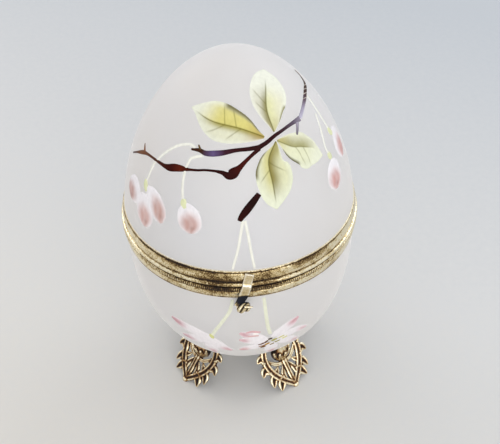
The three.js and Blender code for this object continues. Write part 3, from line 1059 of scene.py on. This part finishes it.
LEAVES = [
    {  # to the left, yellow above its fold
        "places": [(20, 124.2), (4, 127.1), (-21, 128.7), (-43, 130.3)],
        "left": (0.5, 2.4, 3.8, 4.9, 5.6, 5.9, 5.7, 4.3, 2.6, 1.0, 0.1),
        "right": (0.3, 1.5, 3.3, 4.7, 5.8, 6.7, 7.0, 6.8, 6.0, 3.4, 0.1),
        "tones": {"left": ("a39a52", "d9d8be", 2.4), "right": ("d2c878", "d9d28c", 8.0)},
        "stalk": ("a5854c", 0.32),
        "pale": ("e1e2d0", 0.74),
        "fold": ("6b6422", 0.84),
        "edge": (-1, 0.04, 0.56, 0.6, "5b531f"),
        "veins": [(-1, 0.5, 0.3, 7.0), (-1, 0.36, 0.4, 6.0), (1, 0.3, 0.9, 5.0), (1, 0.5, 1.2, 4.5)],
    },
    {  # to the top, grey-olive in its fold
        "places": [(28, 124.7), (29, 130.3), (43, 135.2), (60, 137.3)],
        "left": (0.3, 1.0, 2.0, 3.1, 4.4, 5.2, 5.5, 5.3, 4.6, 3.2, 0.1),
        "right": (0.3, 3.0, 5.0, 6.4, 7.2, 7.7, 7.9, 7.4, 6.0, 4.1, 0.1),
        "tones": {"left": ("8c8656", "d4d2be", 2.8), "right": ("d9d8a6", "dedcc0", 5.0)},
        "stalk": ("b3aa80", 0.3),
        "pale": ("e4e5d6", 0.6),
        "fold": ("6d6a3a", 0.74),
        "edge": (-1, 0.08, 0.42, 0.75, "85814f"),
        "veins": [(1, 0.42, 1.0, 5.2), (1, 0.3, 0.9, 4.0)],
    },
    {  # to the right, shaded above its fold and bright below
        "places": [(28, 122.4), (37, 119.4), (44, 117.9), (52, 115.3), (57, 111.5)],
        "left": (0.3, 2.4, 4.0, 4.6, 4.8, 4.7, 3.8, 2.9, 1.6, 0.9, 0.1),
        "right": (0.2, 1.4, 2.9, 4.3, 5.8, 6.9, 7.2, 6.8, 5.8, 4.0, 0.2),
        "tones": {"left": ("a29f72", "d4d3b8", 4.0), "right": ("dcddbc", "dadcbe", 6.0)},
        "stalk": ("c3b878", 0.3),
        "pale": ("e1e3cc", 0.68),
        "fold": ("807d4a", 0.62),
        "edge": (-1, 0.12, 0.44, 0.72, "4f4a22"),
        "veins": [(-1, 0.35, 0.8, 6.5), (-1, 0.5, 0.8, 6.5)],
    },
    {  # downwards, with a deep fold
        "places": [(27, 122.4), (19, 117.9), (19, 110.5), (19, 103.3)],
        "left": (0.3, 3.0, 5.0, 6.3, 7.3, 7.8, 7.7, 6.9, 5.5, 3.0, 0.1),
        "right": (0.1, 0.6, 1.8, 3.2, 4.6, 5.1, 5.1, 4.8, 4.1, 2.8, 0.1),
        "tones": {"left": ("897f42", "d6d6b0", 4.4), "right": ("cbc586", "d8d9ba", 3.6)},
        "stalk": ("b3ab72", 0.3),
        "pale": ("e0e3cb", 0.72),
        "fold": ("605a24", 0.84),
        "edge": (-1, 0.16, 0.5, 0.66, "5a5320"),
        "veins": [(1, 0.3, 0.9, 6.0), (-1, 0.42, 0.8, 4.2)],
    },
]


def leaf_colour(patch, look):
    sides = []
    for name in ("left", "right"):
        inner, outer, spread = look["tones"][name]
        sides.append(mix(tone(inner), tone(outer), ease(0, spread, np.abs(patch.offset))))
    colour = np.where((patch.across > 0)[..., None], *sides)
    stalk, reach = look["stalk"]
    colour = mix(colour, tone(stalk), 0.6 * ease(reach, 0.0, patch.along))
    pale, start = look["pale"]
    colour = mix(colour, tone(pale), ease(start - 0.2, start + 0.2, patch.along))
    colour = mix(colour, tone(pale), 0.85 * ease(0.62, 1.0, np.abs(patch.across)))
    fold, reach = look["fold"]
    shown = ease(reach + 0.1, reach - 0.1, patch.along)
    colour = mix(colour, tone(fold), 0.9 * hump(patch.offset, 0, 0.2) * shown)
    for mark in look["veins"]:
        colour = mix(colour, tone(fold), 0.5 * vein(patch, *mark))
    side, start, end, inside, dark = look["edge"]
    rim = ease(inside, 0.94, patch.across * side)
    reach = ease(start - 0.03, start + 0.08, patch.along) * ease(end + 0.04, end - 0.06, patch.along)
    return mix(colour, tone(dark), 0.9 * rim * reach)


# The lavender-grey tones where the upper twigs meet, at about azimuth 44 to 62, are a painted sheen of the
# raised enamel.
TWIGS = [
    # places, half-widths at even steps, colours at even steps
    (
        [(105, 129.7), (101, 128.1), (93, 126.9), (82, 126.9), (70, 126.3), (62, 125.5), (54, 124.4)],
        (0.15, 0.5, 0.75, 0.85, 0.8, 0.75, 0.8),
        ("5c4c38", "4f3b28", "3d2414", "3a2018", "584450", "a29bae", "b4afc0"),
    ),
    (
        [(54, 124.4), (43, 124.6), (35, 124.3), (27, 123.7), (21, 122.8), (14, 121.9)],
        (0.95, 0.65, 0.55, 0.6, 0.7, 0.8),
        ("8f8796", "5d5160", "3f2c34", "311418", "2c0d10", "2a0b0b"),
    ),
    ([(50, 124.3), (47, 122.7), (44, 121.3)], (0.75, 0.55, 0.4), ("a9a2b0", "8c8591", "6d6470")),
    (
        [(16, 122.0), (8, 122.0), (-1, 121.9), (-11, 121.1), (-20, 120.6), (-25, 121.0), (-31, 120.7)],
        (0.8, 0.7, 0.65, 0.85, 1.0, 0.75, 0.35),
        ("2c0e0d", "2a0b0b", "310e0e", "3c1c28", "605078", "3c2214", "3a1c10"),
    ),
    ([(-24, 120.9), (-26.5, 122.4)], (0.5, 0.25), ("5b4428", "6b5636")),
    (
        [(15, 121.7), (10, 120.5), (5, 118.9), (0, 116.9), (-5, 115.2), (-9, 115.9), (-13, 116.2)],
        (0.7, 0.6, 0.65, 0.95, 1.75, 0.85, 0.45),
        ("2c0e0d", "340c08", "400c06", "3e0903", "300603", "2a0806", "2c0b08"),
    ),
    (
        [(-11, 116.2), (-19, 116.1), (-24, 115.6), (-31, 115.0), (-38, 114.3), (-43, 113.4), (-47, 113.1)],
        (0.45, 0.4, 0.4, 0.5, 1.15, 1.3, 0.7),
        ("2c0b08", "290907", "290806", "3a1008", "561c0c", "360803", "3a1008"),
    ),
    (
        [(-45, 113.1), (-54, 113.0), (-62.7, 112.4), (-68.2, 111.3), (-75.5, 108.7), (-82, 105.8)],
        (0.8, 0.5, 0.5, 0.75, 0.4, 0.3),
        ("3a1008", "482016", "5f3a28", "744a30", "5f4032", "4e4044"),
    ),
    ([(-67, 111.8), (-70.5, 113.9)], (0.75, 0.2), ("8a5c3c", "7a4a2c")),
    (
        [(10.8, 109.3), (6, 106.3), (1, 102.7), (-0.2, 101.2)],
        (0.9, 1.25, 1.3, 0.8),
        ("2a0504", "1c0302", "280504", "300906"),
    ),
]
STEM_PATHS = [
    [(-28, 121.2), (-32.2, 121.8), (-39.1, 120.8), (-44.8, 118.9)]
    + [(-49.5, 116.3), (-52.7, 113.8), (-55.2, 110.8), (-56.7, 105)],
    [(-22, 119.8), (-29.1, 118.5), (-30.6, 117), (-31.7, 115.1)]
    + [(-31.9, 112.2), (-31.5, 109.4), (-30.2, 105.8)],
    [(1.4, 101.4), (-0.2, 96), (-1.6, 91), (-4.4, 83.4)],
    [(2.4, 101.4), (3.6, 96), (4.4, 91), (5.8, 83.4)],
    [(79.4, 127), (76.3, 121.9), (75.6, 118.5), (75.3, 114.6)],
    [(72, 121.5), (66.5, 117), (62.5, 113), (62.6, 110)],
]
BASE_STEM_PATHS = [
    [(-4.9, 69.6), (-6.5, 64), (-9.2, 59.5), (-13.4, 53.4), (-17.3, 47.5)],
    [(9.6, 69.6), (10.2, 64), (10.9, 58), (11.6, 53.5), (13.2, 47.8)],
]
CALYXES = [
    [(-57.7, 105.4), (-56.7, 103.3), (-55.1, 101.7)],
    [(-29.6, 106.2), (-29.5, 104.6), (-28.2, 103)],
    [(75.5, 115.2), (75.2, 113.9), (77.5, 112.2)],
    [(62.7, 110.6), (62.7, 109.6), (63.6, 108)],
]
BUDS = [
    # places from the stem to the tip, half-width, where the blush lies across, its tone
    ([(-68.0, 102.6), (-67.4, 98), (-67.6, 93.4)], 5.4, -0.3, "b5877c"),
    ([(-57.1, 100.6), (-54.9, 95.6), (-52.4, 89.2)], 4.9, 0.0, "c79a8f"),
    ([(-55.2, 103.6), (-47.0, 100.5), (-41.4, 94.6)], 3.8, 0.1, "b98a7c"),
    ([(-28.4, 105), (-25.8, 100.3), (-24.0, 95.2)], (4.4, 4.5), 0.0, "b98a7e"),
    ([(81.2, 113.2), (80.1, 108.4), (77.8, 102.8)], 4.6, 0.2, "c78f86"),
    ([(64.8, 107.6), (61.5, 103), (59.2, 98.2)], 4.8, 0.0, "c48a80"),
]
PETALS = [
    # the left blossom, then the right one: places from its middle outwards, half-widths, tip blush
    ([(-18, 45), (-19, 40), (-20, 35), (-20, 30)], (0.8, 2.6, 3.0, 2.4, 0.8), "d3a0a6"),
    ([(-18, 46), (-24, 43.2), (-30, 41), (-37, 40.5)], (0.8, 2.9, 3.4, 2.8, 0.8), "c9909a"),
    ([(-17, 46), (-15, 42), (-12, 38.7), (-7.5, 36.6)], (0.8, 2.2, 2.7, 2.3, 0.8), "cf99a0"),
    ([(-18, 47), (-26, 47.6), (-33, 48.9), (-40, 51)], (0.8, 2.7, 3.2, 2.8, 0.9), "b4626f"),
    ([(14, 41), (15, 37), (16, 33), (17, 29.5)], (0.8, 2.5, 2.9, 2.3, 0.8), "c98d90"),
    ([(17, 42), (23, 39.5), (28, 37), (33, 34)], (0.8, 2.5, 2.9, 2.3, 0.8), "d8aeb0"),
    ([(17, 44), (23, 44.5), (29, 44.5), (36, 43)], (0.8, 2.6, 2.8, 2.1, 0.6), "dcb6ba"),
    ([(11, 41.5), (6, 40), (1, 38.8), (-3.5, 37.8)], (0.8, 2.3, 2.6, 2.2, 0.8), "c98a8c"),
    ([(11, 43), (6, 44.2), (1, 45.4), (-3, 46.4)], (0.8, 2.1, 2.5, 2.0, 0.8), "cd959c"),
    ([(12, 44), (7, 46.5), (2.5, 48.8), (-2.5, 51)], (0.8, 2.3, 2.7, 2.3, 0.9), "c78791"),
    ([(14, 45.5), (18.5, 48), (23, 50.4), (28, 53.8)], (0.8, 2.4, 2.8, 2.4, 0.8), "c9848e"),
]
STAMENS = [
    ([(6.6, 41.2), (9.6, 41.8), (12.4, 43.4)], "5b3418"),
    ([(7.0, 39.6), (10.4, 40.0), (13.2, 41.4)], "8a5a22"),
    ([(8.2, 38.4), (11.6, 38.8)], "6a4420"),
    ([(10.6, 40.6), (13.8, 41.0)], "c9a45c"),
    ([(12.0, 44.2), (14.6, 44.6)], "3e2712"),
    ([(13.4, 39.4), (16.2, 40.2)], "7d6a2c"),
    ([(14.2, 42.6), (17.6, 43.4)], "a39f4a"),
    ([(16.4, 40.8), (19.8, 41.6)], "8b8638"),
    ([(17.8, 43.6), (21.6, 44.4)], "c6c26c"),
    ([(20.2, 42.0), (23.6, 43.0)], "d4d07e"),
]
LEFT_CALYX = [(-17.6, 48.6), (-17.4, 47), (-16.8, 45.4)]
PETAL_CURL = [
    # the curled edge of the upper left petal of the right blossom
    ([(8, 50.4), (4, 51.4), (0.5, 51.0)], "d9adb0"),
    ([(7.4, 48.4), (4.2, 48.6), (1, 48.6)], "d3a9a6"),
    ([(7, 49.6), (4, 50.1)], "f8f3ee"),
]


def shaded(patch, codes):
    """Colours given at even steps along a patch, darker at its edges."""
    places = np.linspace(0, 1, len(codes))
    tones = np.array([tone(code) for code in codes])
    rows = np.stack([np.interp(patch.along[:, 0], places, tones[:, k]) for k in range(3)], 1)
    return rows[:, None] * (1 - 0.25 * np.abs(patch.across) ** 2)[..., None]


def bark_strokes(patch, colour):
    """Slanting pale strokes across the upper branch, and a painted lavender sheen along one side of its
    far end.
    """
    slant = patch.along * patch.length * 0.62 + patch.offset * 0.9
    stripes = ease(0.72, 0.95, np.cos(slant * 2 * math.pi / 1.5))
    place = ease(0.2, 0.32, patch.along) * ease(0.72, 0.62, patch.along)
    colour = mix(colour, tone("d8cfc4"), 0.8 * stripes * place)
    painted_sheen = ease(0.25, 0.7, patch.across) * ease(0.6, 0.85, patch.along)
    return mix(colour, tone("d5d2de"), 0.75 * painted_sheen)


def bud_colour(patch, lean, blush):
    white, warm = tone("e9e5e7"), tone(blush)
    centre = (patch.across - lean) / 0.95
    core = ease(1.25, 0.3, np.hypot(centre, (patch.along - 0.72) / 0.45))
    strokes = 0.5 + 0.5 * np.sin(9 * patch.across + 3 * np.sin(7 * patch.along + lean * 9))
    colour = mix(white, warm, (0.7 + 0.14 * strokes) * core)
    mark = hump(patch.across, lean + 0.15, 0.22) * hump(patch.along, 0.82, 0.07)
    return mix(colour, warm * 0.5, 0.35 * mark)


def petal_colour(patch, blush):
    white, warm = tone("ebe6e8"), tone(blush)
    tip = ease(0.5, 0.9, patch.along) * ease(1.05, 0.45, np.abs(patch.across))
    fleck = hump(patch.across, 0.1, 0.3) * hump(patch.along, 0.8, 0.15)
    colour = mix(mix(white, warm, 0.62 * tip), warm * 0.85, 0.5 * fleck)
    return mix(colour, tone("d9d4d4"), 0.7 * ease(0.75, 1.0, np.abs(patch.across)))


def drop_widths(width):
    return tuple(width * share for share in (0.25, 0.7, 0.92, 1.0, 0.98, 0.82, 0.3))


def stroke(shape, places, widths, code, grain=FINE_GRAIN, height=ENAMEL):
    """One brush stroke in one colour, as wide to its left as to its right."""
    Patch(places, widths, widths, grain, height).add_to(shape, tone(code))


def painted_piece(name, shape, body, enamel):
    shape_piece(name, shape, "paint", [enamel], body, sharp=60)


def paint_leaves():
    shape = Shape()
    for look in LEAVES:
        patch = Patch(look["places"], look["left"], look["right"])
        patch.add_to(shape, leaf_colour(patch, look))
    return shape


def paint_branch():
    shape = Shape()
    for number, (places, widths, codes) in enumerate(TWIGS):
        patch = Patch(places, widths, widths, FINE_GRAIN, ENAMEL * 1.4)
        colour = shaded(patch, codes)
        patch.add_to(shape, bark_strokes(patch, colour) if number == 0 else colour)
    return shape


def paint_buds():
    shape = Shape()
    for places, width, lean, blush in BUDS:
        left, right = np.broadcast_to(width, 2)
        patch = Patch(places, drop_widths(left), drop_widths(right), thickness=ENAMEL * 1.2)
        patch.add_to(shape, bud_colour(patch, lean, blush))
    for places in STEM_PATHS:
        stroke(shape, places, (0.5, 0.46, 0.44), "e8e7dc")
    for places in CALYXES:
        stroke(shape, places, (0.7, 1.2, 0.7), "d9dcb2", height=ENAMEL * 1.7)
    return shape


def paint_blossoms():
    shape = Shape()
    for places in BASE_STEM_PATHS:
        stroke(shape, places, (0.6, 0.66, 0.7), "e0e1cc")
    for step, (places, widths, blush) in enumerate(PETALS):
        patch = Patch(places, widths, widths, thickness=ENAMEL * (0.9 + 0.05 * step))
        patch.add_to(shape, petal_colour(patch, blush))
    for places, code in PETAL_CURL + STAMENS:
        stroke(shape, places, (0.4, 0.55, 0.35), code, 0.14, ENAMEL * 2.2)
    stroke(shape, LEFT_CALYX, (0.5, 0.9, 0.5), "cfd08e", height=0.16)
    return shape


def build_painting():
    enamel = painted_enamel("enamel")
    painted_piece("painted_leaves", paint_leaves(), "lid", enamel)
    painted_piece("painted_branch", paint_branch(), "lid", enamel)
    painted_piece("painted_buds", paint_buds(), "lid", enamel)
    painted_piece("painted_blossoms", paint_blossoms(), "base", enamel)


# ---------------------------------------------------------------- studio and camera

FLOOR_REACH = 2.5
LAMPS = [
    # name, place in metres, size, power, colour
    ("warm_window", (-0.95, 0.9, 0.7), 0.9, 4, (1.0, 0.93, 0.86)),
    ("cool_window", (1.0, 0.7, 0.8), 0.9, 4, (0.95, 0.98, 1.0)),
    ("front", (0.3, -1.25, 0.5), 1.3, 8, (1.0, 0.985, 0.96)),
    ("overhead", (0.0, -0.3, 1.5), 1.8, 2, (1.0, 0.99, 0.97)),
]
CAMERA_PLACE = (0.0, -252.8, 294.6)
CAMERA_AIM = (3.67, -3.08, 69.8)
CAMERA_ROLL = -1.84
LENS = 65.3


def build_floor():
    material, tree, shader = new_material("pale_floor")
    place = add_node(tree, "TexCoord").outputs["Object"]
    axes = add_node(tree, "SeparateXYZ", {"Vector": place})
    # Painted shade: the floor darkens and cools towards the back and the right.
    back = maths(tree, "ADD", axes.outputs["Y"], maths(tree, "MULTIPLY", axes.outputs["X"], 0.6))
    fibre = swing(tree, noise(tree, 320, 4, 0.6), 0.25)
    shade = maths(tree, "ADD", maths(tree, "ADD", maths(tree, "MULTIPLY", back, 2.0), 0.3), fibre)
    stops = [(0.0, "d4d0c8"), (0.45, "cccccb"), (1.0, "b8bcc0")]
    feed(tree, shader, {"Base Color": ramp(tree, shade, stops), "Roughness": 0.9})
    mesh = bpy.data.meshes.new("floor")
    corners = [(x * FLOOR_REACH, y * FLOOR_REACH, 0) for x, y in ((-1, -1), (1, -1), (1, 1), (-1, 1))]
    mesh.from_pydata(corners, [], [[0, 1, 2, 3]])
    mesh.materials.append(material)
    floor = bpy.data.objects.new("floor", mesh)
    bpy.context.scene.collection.objects.link(floor)


def build_lights():
    world = bpy.data.worlds.new("studio")
    world.use_nodes = True
    sky = world.node_tree.nodes["Background"]
    feed(world.node_tree, sky, {"Color": (0.88, 0.9, 0.94, 1), "Strength": 0.92})
    bpy.context.scene.world = world
    bpy.context.scene.view_settings.view_transform = "Standard"
    for lamp in LAMPS:
        add_lamp(*lamp)


def add_lamp(name, place, size, power, colour):
    lamp = bpy.data.lights.new(name, "AREA")
    lamp.size = size
    lamp.energy = power
    lamp.color = colour
    placed = bpy.data.objects.new(name, lamp)
    placed.location = place
    aim = Vector((0, 0, 0.06)) - Vector(place)
    placed.rotation_mode = "QUATERNION"
    placed.rotation_quaternion = aim.to_track_quat("-Z", "Y")
    bpy.context.scene.collection.objects.link(placed)


def build_camera():
    camera = bpy.data.objects.new("camera", bpy.data.cameras.new("camera"))
    camera.data.lens = LENS
    camera.data.clip_start = 0.01
    camera.location = Vector(CAMERA_PLACE) * MM
    aim = Vector(CAMERA_AIM) - Vector(CAMERA_PLACE)
    camera.rotation_euler = aim.to_track_quat("-Z", "Y").to_euler()
    camera.rotation_euler.rotate_axis("Z", math.radians(CAMERA_ROLL))
    bpy.context.scene.collection.objects.link(camera)
    bpy.context.scene.camera = camera


build_glass()
rim_gilt = build_rims()
clasp_brass = build_clasp()
build_hinge(rim_gilt, clasp_brass)
build_feet()
build_painting()
build_floor()
build_lights()
build_camera()
